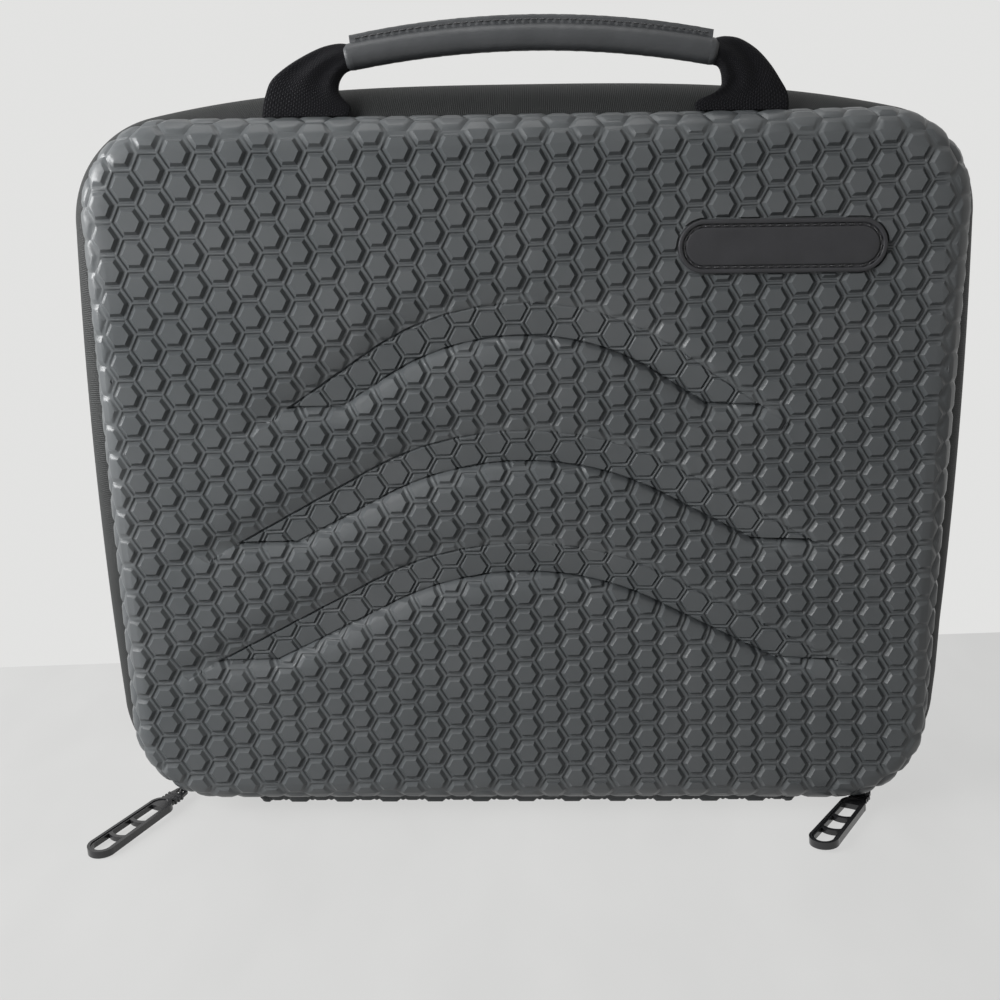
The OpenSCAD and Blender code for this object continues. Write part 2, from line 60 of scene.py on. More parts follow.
# Way out from a pad's middle and its height there
PROFILE = ((3.55, 0.55), (4.5, -0.68), (4.78, -0.96), (5.2, -0.98), (5.68, -0.48),
           (PITCH / 2, -0.4))
# The same inside the arched bands, where the pads are broader and flatter
BAND_PROFILE = ((4.5, 0.3), (4.78, -0.15), (5.2, -0.55), (5.68, -0.1), (PITCH / 2, 0.0))
STEP_W, STEP_DEPTH = 13.0, 4.4                   # of an arched band
CREASE, GROOVE = 0.65, 0.95                      # half width and depth of a band's creases
HIGH_SHOULDER, LOW_SHOULDER = 14.0, 9.0          # rounded ways into an arched band
LEFT_FALL, BAND_FALL = 1.3, 2.6                  # slope of the band down to its lower edge
SIDE_REACH = 50.0                                # from there on the left side's form holds
EDGE_SWELL, SWELL_FROM, SWELL_REACH = 0.9, 90.0, 60.0    # of the moulded rim on the right
NARROWING = 2.5                                  # of an arched band towards its tips
# Height of an arch's lower edge at its apex, its radius, its legs' slope and its half width
ARCHES = ((60.5, 97.0, 34.0, 94.0), (9.5, 118.0, 29.0, 118.0), (-38.0, 118.0, 28.0, 130.0))
BADGE_X, BADGE_Z, BADGE_W, BADGE_H = 100.0, 94.4, 80.0, 20.3
# How much the badge's outline grows, and its height there
BADGE_RINGS = ((0, -0.5), (0, 0.9), (-0.35, 1.35), (-1.1, 1.5), (-2.7, 1.5), (-3.2, 1.36),
               (-3.5, 0.85), (-3.9, 0.6), (-5.6, 0.6), (-6.0, 0.85), (-6.4, 1.08),
               (-7.6, 1.15), (-12.0, 1.15), (-18.5, 1.15))
STITCH_LINE, STITCH_PITCH, STITCH = 4.8, 3.4, 2.5        # the badge's seam
EDGE = 0.8                                       # half the gap between the two tapes
TAPE_T, COIL_DROP, COIL_D, SEW_LAP = 1.2, 0.35, 1.4, 3.0
CREST_HW, CREST_R, CREST_LOW, CREST_TOP = 182.3, 44.0, 5.2, 299.3
TOP_CROWN, SIDE_CROWN = 10.6, 2.7
ZIP_START, CORNER_STEPS, SIDE_STEPS, TOP_STEPS = 125.5, 28, 18, 60
STRIP_HALF_X, STRIP_HALF_Y, CREASE_Z = 123.5, 13.5, 1.1
HANDLE_Y, GRIP_Z = -16.3, 318.0
GRIP_X, GRIP_LEN, GRIP_R, GRIP_RISE = 4.0, 141.0, 5.0, 6.5
FLAP_END = 0.962                                 # share of the grip that the sewn flap spans


# ---- small helpers ----
def clamp(x, low, high):
    return max(low, min(high, x))


def mix(a, b, t):
    return a + (b - a) * t


def build(name, verts, faces, material, body=None, cloth=None, smooth=True, closed=True):
    """Makes a piece from points in millimetres; cloth holds its flat coordinates."""
    mesh = bpy.data.meshes.new(name)
    mesh.from_pydata([[c * MM for c in v] for v in verts], [], faces)
    mesh.update()
    if cloth:
        data = mesh.attributes.new("cloth", "FLOAT_VECTOR", "POINT").data
        data.foreach_set("vector", [c for uv in cloth for c in (uv[0], uv[1], 0.0)])
    if closed:
        work = bmesh.new()
        work.from_mesh(mesh)
        bmesh.ops.recalc_face_normals(work, faces=work.faces)
        work.to_mesh(mesh)
        work.free()
    mesh.polygons.foreach_set("use_smooth", [smooth] * len(mesh.polygons))
    mesh.materials.append(material)
    obj = bpy.data.objects.new(name, mesh)
    bpy.context.scene.collection.objects.link(obj)
    if body:
        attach(obj, body)
    return obj


def loft(rings, loop=False):
    """Faces that join equal rings of points, laid out one after another."""
    n, last = len(rings[0]), len(rings) - 1
    verts = [p for ring in rings for p in ring]
    faces = []
    for i in range(last + (1 if loop else 0)):
        a, b = i * n, ((i + 1) % len(rings)) * n
        faces += [(a + j, a + (j + 1) % n, b + (j + 1) % n, b + j) for j in range(n)]
    if not loop:
        faces += [tuple(range(n - 1, -1, -1)), tuple(last * n + j for j in range(n))]
    return verts, faces


class Outlines:
    """Lines that a flat surface is cut along into triangles."""

    def __init__(self):
        self.pts, self.edges = [], []

    def add(self, line, closed=True):
        base = len(self.pts)
        self.pts.extend(Vector(p) for p in line)
        self.edges.extend((base + k, base + k + 1) for k in range(len(line) - 1))
        if closed:
            self.edges.append((base + len(line) - 1, base))

    def add_hexagons(self, centre, turn=0.0, place=lambda u, v: (u, v)):
        """The rings of one pad, as far out as its profile has bends."""
        for reach, _ in PROFILE:
            r = reach / math.cos(math.radians(30))
            self.add([place(centre[0] + r * math.cos(a), centre[1] + r * math.sin(a))
                      for a in (turn + math.radians(60 * k) for k in range(6))])

    def triangles(self, inside):
        """Points, and the triangles whose middle lies inside, with points renumbered."""
        flat, _, tris, *_ = geometry.delaunay_2d_cdt(self.pts, self.edges, [], 0, 1e-3)
        keep = [f for f in tris
                if inside(*(sum(flat[i][k] for i in f) / len(f) for k in (0, 1)))]
        used = sorted({i for f in keep for i in f})
        index = {i: k for k, i in enumerate(used)}
        return [flat[i] for i in used], [tuple(index[i] for i in f) for f in keep]


def rim_edges(faces):
    """Edges that only one face has, in the order of the faces."""
    seen = dict.fromkeys((a, b) for f in faces for a, b in zip(f, f[1:] + f[:1]))
    return [(a, b) for a, b in seen if (b, a) not in seen]


def with_back(faces, base):
    """Closes a sheet with its back, whose points start at base, and with its rim."""
    back = [tuple(base + i for i in reversed(f)) for f in faces]
    return faces + back + [(b, a, base + a, base + b) for a, b in rim_edges(faces)]


def pad_distance(du, dv, turn=0.0):
    """Way out of a pad's middle, measured square to its nearest side."""
    return max(abs(du * math.cos(a) + dv * math.sin(a))
               for a in (turn + math.radians(k) for k in (30, 90, 150)))


def join(parts):
    """One list of points and faces out of several."""
    verts, faces = [], []
    for more, these in parts:
        base = len(verts)
        verts += more
        faces += [tuple(base + i for i in f) for f in these]
    return verts, faces


def tube(path, radius, sides):
    """A round bar along a path, without twist."""
    pts = [Vector(p) for p in path]
    rings, normal = [], None
    for i, p in enumerate(pts):
        t = (pts[min(i + 1, len(pts) - 1)] - pts[max(i - 1, 0)]).normalized()
        if normal is None:
            normal = t.orthogonal().normalized()
        normal = (normal - t * normal.dot(t)).normalized()
        side = t.cross(normal)
        rings.append([p + (normal * math.cos(a) + side * math.sin(a)) * radius
                      for a in (2 * math.pi * k / sides for k in range(sides))])
    return loft(rings)


def bevel(obj, width):
    mod = obj.modifiers.new("bevel", "BEVEL")
    mod.width = width * MM
    mod.segments = 2
    mod.limit_method = "ANGLE"
    mod.angle_limit = math.radians(35)
    mod.harden_normals = True


# ---- materials ----
class Nodes:
    """Short spelling for a material's node tree."""

    def __init__(self, name, color, rough, **sockets):
        self.material = bpy.data.materials.new(name)
        self.material.use_nodes = True
        self.tree = self.material.node_tree
        self.shader = self.tree.nodes["Principled BSDF"]
        self.shader.inputs["Base Color"].default_value = (*color, 1)
        self.shader.inputs["Roughness"].default_value = rough
        for key, value in sockets.items():
            self.shader.inputs[key.replace("_", " ")].default_value = value
        self.last_bump = None

    def new(self, kind, **props):
        node = self.tree.nodes.new(kind)
        for key, value in props.items():
            setattr(node, key, value)
        return node

    def link(self, a, b):
        self.tree.links.new(a, b)
        return b.node if hasattr(b, "node") else b

    def math(self, op, a, b=0.0):
        node = self.new("ShaderNodeMath", operation=op)
        for i, value in enumerate((a, b)):
            if isinstance(value, (int, float)):
                node.inputs[i].default_value = value
            else:
                self.link(value, node.inputs[i])
        return node.outputs[0]

    def coords(self, scale=(1, 1, 1), cloth=False):
        if cloth:
            source = self.new("ShaderNodeAttribute", attribute_name="cloth").outputs["Vector"]
        else:
            source = self.new("ShaderNodeTexCoord").outputs["Object"]
        node = self.new("ShaderNodeMapping")
        node.inputs["Scale"].default_value = scale
        self.link(source, node.inputs["Vector"])
        return node.outputs[0]

    def noise(self, scale, detail=3.0, rough=0.55, where=None):
        node = self.new("ShaderNodeTexNoise")
        node.inputs["Scale"].default_value = scale
        node.inputs["Detail"].default_value = detail
        node.inputs["Roughness"].default_value = rough
        self.link(where or self.coords(), node.inputs["Vector"])
        return node.outputs["Fac"]

    def voronoi(self, scale, where=None, feature="F1"):
        node = self.new("ShaderNodeTexVoronoi", feature=feature)
        node.inputs["Scale"].default_value = scale
        self.link(where or self.coords(), node.inputs["Vector"])
        return node.outputs["Distance"]

    def ramp(self, fac, stops):
        node = self.new("ShaderNodeValToRGB")
        ramp = node.color_ramp
        ramp.elements[0].position, ramp.elements[1].position = stops[0][0], stops[-1][0]
        for at, _ in stops[1:-1]:
            ramp.elements.new(at)
        for element, (_, tone) in zip(ramp.elements, stops):
            tone = tone if isinstance(tone, tuple) else (tone, tone, tone)
            element.color = (*tone, 1)
        self.link(fac, node.inputs["Fac"])
        return node.outputs["Color"]

    def color(self, socket):
        self.link(socket, self.shader.inputs["Base Color"])

    def rough(self, socket, low, high):
        node = self.new("ShaderNodeMapRange")
        node.inputs["To Min"].default_value = low
        node.inputs["To Max"].default_value = high
        self.link(socket, node.inputs["Value"])
        self.link(node.outputs[0], self.shader.inputs["Roughness"])

    def bump(self, height, distance, strength=1.0):
        node = self.new("ShaderNodeBump")
        node.inputs["Distance"].default_value = distance * MM
        node.inputs["Strength"].default_value = strength
        self.link(height, node.inputs["Height"])
        if self.last_bump:
            self.link(self.last_bump, node.inputs["Normal"])
        self.last_bump = node.outputs["Normal"]
        for link in list(self.shader.inputs["Normal"].links):
            self.tree.links.remove(link)
        self.link(self.last_bump, self.shader.inputs["Normal"])

    def wave(self, axis_socket, pitch):
        """Sine of a coordinate in millimetres, from 0 to 1."""
        turns = self.math("MULTIPLY", axis_socket, 2 * math.pi / pitch)
        return self.math("MULTIPLY_ADD", self.math("SINE", turns), 0.5)


def split(n, socket):
    node = n.new("ShaderNodeSeparateXYZ")
    n.link(socket, node.inputs[0])
    return node.outputs


def tone(grey, tint=(1.0, 1.0, 1.0)):
    return tuple(grey * t for t in tint)


def moulded_skin():
    n = Nodes("moulded_skin", (0.07, 0.075, 0.078), 0.36, Specular_IOR_Level=0.5)
    patches = n.noise(26, 4)
    n.color(n.ramp(patches, [(0.25, (0.052, 0.057, 0.060)), (0.5, (0.062, 0.067, 0.070)),
                             (0.78, (0.074, 0.078, 0.081))]))
    n.rough(n.noise(140, 3), 0.30, 0.42)
    n.bump(n.noise(2600, 2), 0.03, 0.6)
    n.bump(n.voronoi(900), 0.03, 0.4)
    return n.material


def ribbed_band():
    n = Nodes("ribbed_band", (0.014, 0.015, 0.015), 0.6, Specular_IOR_Level=0.3)
    along, across, _ = split(n, n.coords(cloth=True))
    ribs = n.wave(along, 0.85)
    n.color(n.ramp(n.noise(60, 4), [(0.3, (0.012, 0.013, 0.013)), (0.75, (0.017, 0.018, 0.018))]))
    n.bump(ribs, 0.14, 0.8)
    n.bump(n.wave(across, 0.6), 0.05, 0.5)
    n.bump(n.noise(900, 2), 0.06, 0.4)
    return n.material


def webbing():
    n = Nodes("webbing", (0.005, 0.005, 0.006), 0.7, Specular_IOR_Level=0.22)
    along, across, _ = split(n, n.coords(cloth=True))
    warp = n.wave(across, 1.1)
    half = n.math("GREATER_THAN", n.wave(across, 2.2), 0.5)
    weft = n.wave(n.math("ADD", along, n.math("MULTIPLY", half, 0.65)), 1.3)
    weave = n.math("MULTIPLY", warp, weft)
    # Colour follows the weave, near black in the gaps and lighter on the crests: painted shade
    # between the threads and painted highlight on them
    n.color(n.ramp(weave, [(0.0, (0.002, 0.002, 0.003)), (0.35, (0.004, 0.004, 0.005)),
                           (1.0, (0.010, 0.010, 0.012))]))
    n.bump(weave, 0.3, 0.9)
    n.bump(n.noise(1500, 2), 0.06, 0.5)
    n.rough(weave, 0.85, 0.6)
    return n.material


def knit(name, color, pitch=1.1):
    n = Nodes(name, color, 0.85, Sheen_Weight=0.35, Sheen_Roughness=0.5)
    spots = n.voronoi(1000 / pitch)
    n.color(n.ramp(n.noise(35, 4), [(0.3, tone(0.82, color)), (0.7, tone(1.15, color))]))
    n.bump(spots, 0.18, 0.8)
    n.bump(n.noise(420, 3), 0.12, 0.4)
    return n.material


def net():
    n = Nodes("net", (0.03, 0.031, 0.034), 0.7, Sheen_Weight=0.2)
    along, across, _ = split(n, n.coords(cloth=True))
    a = n.wave(n.math("ADD", along, n.math("MULTIPLY", across, 0.5)), 2.4)
    b = n.wave(n.math("SUBTRACT", along, n.math("MULTIPLY", across, 0.5)), 2.4)
    holes = n.math("MULTIPLY", a, b)
    # The holes are painted near black, darker than the lining behind: painted shade standing for
    # the openings, which are not cut
    n.color(n.ramp(holes, [(0.2, (0.04, 0.041, 0.045)), (0.5, (0.02, 0.021, 0.023)),
                           (0.7, (0.006, 0.006, 0.007))]))
    n.bump(n.math("SUBTRACT", 1.0, holes), 0.3, 0.9)
    return n.material


def leather():
    n = Nodes("grip_leather", (0.05, 0.052, 0.056), 0.42, Specular_IOR_Level=0.5)
    grain = n.noise(700, 4, where=n.coords((0.35, 1, 1)))
    n.color(n.ramp(n.noise(50, 4), [(0.3, (0.030, 0.032, 0.034)), (0.72, (0.045, 0.047, 0.050))]))
    n.rough(grain, 0.34, 0.52)
    n.bump(grain, 0.16, 0.6)
    n.bump(n.voronoi(650), 0.07, 0.4)
    return n.material


def plastic():
    n = Nodes("pull_plastic", (0.012, 0.012, 0.013), 0.22, Specular_IOR_Level=0.55,
              Coat_Weight=0.25, Coat_Roughness=0.12)
    n.rough(n.noise(300, 3), 0.17, 0.32)
    n.bump(n.noise(120, 3), 0.08, 0.4)
    return n.material


def enamel():
    n = Nodes("slider_enamel", (0.014, 0.014, 0.016), 0.34, Metallic=0.35)
    n.rough(n.noise(500, 3), 0.26, 0.42)
    n.color(n.ramp(n.noise(240, 4), [(0.35, (0.011, 0.011, 0.012)), (0.8, (0.03, 0.03, 0.032))]))
    n.bump(n.noise(900, 3), 0.03, 0.5)
    return n.material


def badge_rubber():
    n = Nodes("badge_rubber", (0.016, 0.016, 0.018), 0.46, Specular_IOR_Level=0.5)
    n.color(n.ramp(n.noise(90, 4), [(0.3, (0.013, 0.013, 0.015)), (0.75, (0.021, 0.021, 0.024))]))
    n.rough(n.noise(600, 3), 0.38, 0.54)
    n.bump(n.noise(2400, 2), 0.04, 0.6)
    return n.material


def thread():
    n = Nodes("thread", (0.012, 0.012, 0.013), 0.6, Sheen_Weight=0.3)
    n.bump(n.noise(1800, 2, where=n.coords((1, 1, 3))), 0.08, 0.7)
    n.color(n.ramp(n.noise(700), [(0.3, (0.008, 0.008, 0.009)), (0.8, (0.022, 0.022, 0.024))]))
    return n.material


def stage_paint(name, color, rough, glow, share):
    """Paint that looks evenly lit to the camera and still takes the case's shadow."""
    n = Nodes(name, color, rough, Specular_IOR_Level=0.25)
    streaks = n.noise(14, 3, where=n.coords((1.0, 0.5, 0.08)))
    n.color(n.ramp(streaks, [(0.3, tone(0.965, color)), (0.7, tone(1.03, color))]))
    n.bump(n.noise(60, 4), 0.3, 0.2)
    shine, bright = n.new("ShaderNodeEmission"), tone(glow / color[0], color)
    n.link(n.ramp(streaks, [(0.3, tone(0.97, bright)), (0.7, tone(1.02, bright))]),
           shine.inputs["Color"])
    ray, both = n.new("ShaderNodeLightPath"), n.new("ShaderNodeMixShader")
    seen = n.math("MAXIMUM", ray.outputs["Is Camera Ray"], ray.outputs["Is Glossy Ray"])
    n.link(n.math("MULTIPLY", seen, share), both.inputs["Fac"])
    n.link(n.shader.outputs[0], both.inputs[1])
    n.link(shine.outputs[0], both.inputs[2])
    n.link(both.outputs[0], n.tree.nodes["Material Output"].inputs["Surface"])
    return n.material


SKIN, BAND, WEB = moulded_skin(), ribbed_band(), webbing()
LINING = knit("lining", (0.030, 0.031, 0.035))
STRIP_BACK = knit("strip_back", (0.024, 0.025, 0.028), 0.9)
NET, LEATHER, PLASTIC, ENAMEL = net(), leather(), plastic(), enamel()
RUBBER, THREAD = badge_rubber(), thread()


# ---- camera, lights and stage ----
def look_matrix(place, ahead, up):
    z = -Vector(ahead).normalized()
    x = Vector(up).cross(z).normalized()
    y = z.cross(x)
    matrix = Matrix((x, y, z)).transposed().to_4x4()
    matrix.translation = Vector(place)
    return matrix


def area(name, place, aim, size, power, mirrored=True):
    data = bpy.data.lights.new(name, "AREA")
    data.shape = "RECTANGLE"
    data.size, data.size_y = size
    data.energy = power
    obj = bpy.data.objects.new(name, data)
    bpy.context.scene.collection.objects.link(obj)
    ahead = Vector(aim) - Vector(place)
    up = (0, 1, 0) if abs(ahead.normalized().z) > 0.9 else (0, 0, 1)
    obj.matrix_world = look_matrix(place, ahead, up)
    obj.visible_glossy = mirrored


def studio():
    """Camera, lamps, floor, and a world whose bright wall only camera and mirrors see."""
    scene = bpy.context.scene
    cam = bpy.data.cameras.new("camera")
    cam.sensor_width = 36
    cam.lens = 36 * 1.150
    cam.clip_start, cam.clip_end = 0.02, 20
    obj = bpy.data.objects.new("camera", cam)
    scene.collection.objects.link(obj)
    obj.matrix_world = look_matrix((0.000573, -0.483582, 0.2669),
                                   (-0.021991, 0.966187, -0.256902),
                                   (0.008095, 0.257128, 0.966344))
    scene.camera = obj
    scene.view_settings.view_transform = "Standard"

    world = bpy.data.worlds.new("world")
    scene.world = world
    world.use_nodes = True
    tree = world.node_tree
    back, wall = tree.nodes["Background"], tree.nodes.new("ShaderNodeBackground")
    back.inputs["Color"].default_value = (0.93, 0.96, 1.0, 1)
    back.inputs["Strength"].default_value = 0.08
    wall.inputs["Color"].default_value = (0.765, 0.765, 0.757, 1)
    ray, both = tree.nodes.new("ShaderNodeLightPath"), tree.nodes.new("ShaderNodeMixShader")
    seen = tree.nodes.new("ShaderNodeMath")
    seen.operation = "MAXIMUM"
    for a, b in ((ray.outputs["Is Camera Ray"], seen.inputs[0]),
                 (ray.outputs["Is Glossy Ray"], seen.inputs[1]), (seen.outputs[0], both.inputs[0]),
                 (back.outputs[0], both.inputs[1]), (wall.outputs[0], both.inputs[2]),
                 (both.outputs[0], tree.nodes["World Output"].inputs["Surface"])):
        tree.links.new(a, b)

    # The key lamp is two lamps in one place, as the skin mirrors only a part of its light
    for name, power, mirrored in (("key", 8.2, False), ("key_sheen", 4.2, True)):
        area(name, (-0.66, -0.44, 0.50), (0, 0, 0.15), (0.40, 0.46), power, mirrored)
    area("window", (-1.0, -0.07, 0.47), (0, 0, 0.15), (0.36, 0.36), 6.5)
    area("top", (-0.2, -0.10, 1.6), (0, 0, 0.1), (0.9, 0.6), 4)

    # The floor ends behind the case, and its turned edge is where the wall begins
    reach, thick, edge, turn = 4000, 40, 168, 0.078
    verts = [(x, y + turn * x, z) for x in (-reach, reach) for y in (-reach, edge)
             for z in (-thick, 0)]
    faces = [(0, 1, 3, 2), (4, 6, 7, 5), (0, 4, 5, 1), (2, 3, 7, 6), (0, 2, 6, 4), (1, 5, 7, 3)]
    paint = stage_paint("floor_paint", (0.30, 0.30, 0.297), 0.6, 0.76, 0.78)
    build("floor", verts, faces, paint, smooth=False)


# ---- moulded halves ----
def face_point(u, v, lift, face):
    """A point of the unrolled face: lift is its height, face is -1 in front, 1 behind."""
    cx, cz = clamp(u, -FLAT_X, FLAT_X), clamp(v, -FLAT_Z, FLAT_Z)
    dx, dz = u - cx, v - cz
    r = math.hypot(dx, dz)
    way = r - FLAT_R
    if way <= 0:
        return (u, face * (SEAM_Y + DEPTH + lift), MID_Z + v)
    a = min(way / EDGE_R, math.pi / 2)
    out = FLAT_R + (EDGE_R + lift) * math.sin(a)
    high = DEPTH - EDGE_R * (1 - math.cos(a)) + lift * math.cos(a) - (way - a * EDGE_R)
    return (cx + dx / r * out, face * (SEAM_Y + high), MID_Z + cz + dz / r * out)


def way_out(u, v):
    """How far a point of the unrolled face lies past the edge of its flat."""
    return math.hypot(u - clamp(u, -FLAT_X, FLAT_X), v - clamp(v, -FLAT_Z, FLAT_Z)) - FLAT_R


def rounded(hx, hz, r, steps=16):
    return [(sx * (hx - r) + r * math.cos(a), sz * (hz - r) + r * math.sin(a))
            for sx, sz, start in ((1, 1, 0), (-1, 1, 90), (-1, -1, 180), (1, -1, 270))
            for a in (math.radians(start + 90 * k / steps) for k in range(steps + 1))]


def lattice(col, row):
    """Centre of a hexagon, in face coordinates."""
    dx, dz = col * COLUMN - GRID_X, row + (0.0 if col % 2 else 0.5) + GRID_Z
    c, s = math.cos(TILT), math.sin(TILT)
    return (PITCH * (c * dx - s * dz) + CELL_X, PITCH * (s * dx + c * dz) + CELL_Z - MID_Z)


def settled(u, v):
    """Where a point of the even grid lies on the moulded face, whose cells grow to the rim."""
    a, b = clamp(u / 150, -1, 1), clamp(v / 150, -0.95, 0.95)
    return (u - a * (3.3 - 2.9 * a * a + 1.8 * a * b - 2.3 * b * b + 0.5 * b) - 0.35 * a * a
            - 0.55 * b * b,
            v - b * (2.6 - 4.1 * b * b - 2.2 * a * a + 2.1 * a * b - 0.3 * a) - 0.65 * a ** 3
            - 0.35 * a * a - 0.25)


def even(u, v):
    """The other way round: a point's place in the even grid."""
    a, b = u, v
    for _ in range(5):
        x, z = settled(a, b)
        a, b = a + u - x, b + v - z
    return a, b


def lattice_near(u, v):
    """Centre of the hexagon around a point of the even grid."""
    c, s = math.cos(TILT), math.sin(TILT)
    x, z = (u - CELL_X) / PITCH, (v + MID_Z - CELL_Z) / PITCH
    dx, dz = c * x + s * z, -s * x + c * z
    guess = round((dx + GRID_X) / COLUMN)
    near = [lattice(col, round(dz - GRID_Z - (0.0 if col % 2 else 0.5)))
            for col in (guess - 1, guess, guess + 1)]
    return min(near, key=lambda c: (u - c[0]) ** 2 + (v - c[1]) ** 2)


def along_profile(m, profile):
    """Height at a way out from a pad's middle, and level before and after the profile."""
    low, before = profile[0]
    if m <= low:
        return before
    for reach, high in profile[1:]:
        if m <= reach:
            return mix(before, high, (m - low) / (reach - low))
        low, before = reach, high
    return before


def relief(u, v, band=0.0, soft=0.0):
    """Height of the hexagon pattern; band and soft are shares of its two flatter forms."""
    u, v = even(u, v)
    cu, cv = lattice_near(u, v)
    m = pad_distance(u - cu, v - cv, TILT)
    high = mix(along_profile(m, PROFILE), along_profile(m, BAND_PROFILE), band)
    return mix(high, 0.5 - 1.15 * (2 * m / PITCH) ** 2.5, soft)


def arch_coords(u, v, arch):
    """Distance from the arch's centre, measured square to its arc or straight leg."""
    apex, crease_r, slope, _ = arch
    x, z = abs(u), v - (apex - crease_r)
    s = math.radians(slope)
    if math.atan2(x, z) <= s:
        return math.hypot(x, z), z
    return x * math.sin(s) + z * math.cos(s), z


def arch_tip(arch):
    _, crease_r, slope, half_w = arch
    s, upper = math.radians(slope), crease_r + STEP_W
    return upper * math.cos(s) - (half_w - upper * math.sin(s)) * math.tan(s)


def arch_low(x, arch):
    """Radius of an arched band's lower edge, which nears the upper one at the tips."""
    return arch[1] + NARROWING * (x / arch[3]) ** 2


def arch_gap(u, v, arch):
    """Way from an arched band's edge, negative inside; and whether it lies above the band."""
    r, z = arch_coords(u, v, arch)
    above = r - arch[1] - STEP_W
    across, down = max(above, arch_low(u, arch) - r), arch_tip(arch) - z
    if across > 0 and down > 0:
        return math.hypot(across, down), above > 0
    return max(across, down), above > 0


def shoulder(way, above):
    """Share of the depth on a rounded shoulder: 1 at the crease, 0 at its outer end."""
    if above:
        return (1 - way) ** 1.6
    bend = 0.96
    return (1 - math.sqrt(1 - (bend * (1 - way)) ** 2)) / (1 - math.sqrt(1 - bend ** 2))


def arch_shape(u, v):
    """Depth of the arched bands at a point, how much relief stays and its share of band form."""
    depth, keep, band = 0.0, 1.0, 0.0
    left = clamp(-u / SIDE_REACH, 0, 1) ** 1.2
    fall = mix(BAND_FALL, LEFT_FALL, left)
    groove_high = GROOVE * mix(0.4, 1, left)
    groove_low = GROOVE * mix(0.5, 1, clamp(u / 60 + 0.5, 0, 1))
    for arch in ARCHES:
        gap, above = arch_gap(u, v, arch)
        wide = HIGH_SHOULDER if above else LOW_SHOULDER
        if gap >= wide:
            continue
        if gap <= 0:
            r, _ = arch_coords(u, v, arch)
            rise = clamp((r - arch[1]) / STEP_W, 0, 1)
            crease = max(0, 1 + gap / CREASE) * (groove_high if rise > 0.5 else groove_low)
            depth, keep, band = STEP_DEPTH - fall * rise + crease, 1.0, 1.0
            continue
        crease = max(0, 1 - gap / CREASE) * (groove_high if above else groove_low)
        full = STEP_DEPTH - (fall if above else 0)
        depth = max(depth, full * shoulder(gap / wide, above) + crease)
        keep = min(keep, mix(0.35, 1, clamp(gap / 5, 0, 1)) if above else 0.95)
    return depth, keep, band


def arch_lines(arch):
    """Lines along which an arched band and its shoulders bend, in face coordinates."""
    apex, crease_r, slope, half_w = arch
    base, tip, s = apex - crease_r, arch_tip(arch), math.radians(slope)
    steps = (0, 0.05, 0.2, 0.4, 0.7, 1.0)
    lines = []
    for upper, wide in ((True, HIGH_SHOULDER), (False, -LOW_SHOULDER)):
        for way in [-math.copysign(CREASE, wide)] + [wide * k for k in steps]:
            line = []
            for k in range(-60, 61):
                x = k / 60 * (half_w + HIGH_SHOULDER)
                r = (crease_r + STEP_W if upper else arch_low(x, arch)) + way
                z = (math.sqrt(r * r - x * x) if abs(x) <= r * math.sin(s)
                     else (r - abs(x) * math.sin(s)) / math.cos(s))
                if z > tip - LOW_SHOULDER:
                    line.append((x, z))
            lines.append(line)
    inner = ((crease_r + NARROWING) / math.cos(s) - tip) / math.sin(s) * math.cos(s)
    for way in [CREASE] + [-LOW_SHOULDER * k for k in steps]:
        for sx in (-1, 1):
            lines.append([(sx * (inner - 6), tip + way), (sx * (half_w + 4), tip + way)])
    return [[(x, z + base) for x, z in line] for line in lines]


def pill(x, z, w, h, steps=20):
    return [(x + sx * (w - h) / 2 + h / 2 * math.cos(a), z + h / 2 * math.sin(a))
            for sx, start in ((1, -90), (-1, 90))
            for a in (math.radians(start + 180 * k / steps) for k in range(steps + 1))]


def in_pill(u, v, w, h):
    du = max(abs(u - BADGE_X) - (w - h) / 2, 0)
    return math.hypot(du, v - BADGE_Z) - h / 2


def moulding(half, face):
    """Skin and foam of one half, with the hexagon relief and, in front, the arched bands."""
    front, lines = face < 0, Outlines()
    for way in ROLL_WAYS:
        lines.add(rounded(HALF_W - EDGE_R + way, HALF_H - EDGE_R + way, FLAT_R + way))
    for col in range(-8, 40):
        for row in range(-30, 10):
            centre = lattice(col, row)
            if way_out(*centre) <= RIM + 7:
                lines.add_hexagons(centre, TILT, settled)
    if front:
        for arch in ARCHES:
            for line in arch_lines(arch):
                lines.add(line, closed=False)
        for grow in (0.5, 1.5):
            lines.add(pill(BADGE_X, BADGE_Z, BADGE_W + grow, BADGE_H + grow))

    flat, faces = lines.triangles(lambda u, v: way_out(u, v) < RIM)
    if not front:
        faces = [f[::-1] for f in faces]
    verts = []
    for u, v in flat:
        out = way_out(u, v)
        depth, stays, band = arch_shape(u, v) if front else (0.0, 1.0, 0.0)
        lift = relief(u, v, band, clamp((out + 1) / 8, 0, 1)) * stays - depth
        lift += EDGE_SWELL * clamp(out / 12, 0, 1) * clamp((u - SWELL_FROM) / SWELL_REACH, 0, 1)
        if front:
            pit = in_pill(u, v, BADGE_W, BADGE_H)
            if pit < 0.7:
                lift = mix(-0.5, lift, clamp((pit - 0.3) / 0.4, 0, 1))
        verts.append(face_point(u, v, lift, face))
    back = {}
    for a, b in rim_edges(faces):
        for i in (a, b):
            if i not in back:
                back[i] = len(verts)
                verts.append(face_point(*flat[i], -FOAM_BACK, face))
        faces.append((b, a, back[a], back[b]))
    obj = build(half + "_moulding", verts, faces, SKIN, half + "_half", closed=False)
    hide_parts(half + "_skin", half + "_shell")
    obj.data.set_sharp_from_angle(angle=math.radians(30))
    mod = obj.modifiers.new("normals", "WEIGHTED_NORMAL")
    mod.keep_sharp = True
    mod.weight = 60


def outline_half(v, inset):
    """Half width of the case's outline at height v."""
    r, hx, hz = CORNER_R - inset, HALF_W - inset, HALF_H - inset
    over = abs(v) - (hz - r)
    return hx if over <= 0 else hx - r + math.sqrt(max(r * r - over * over, 0))


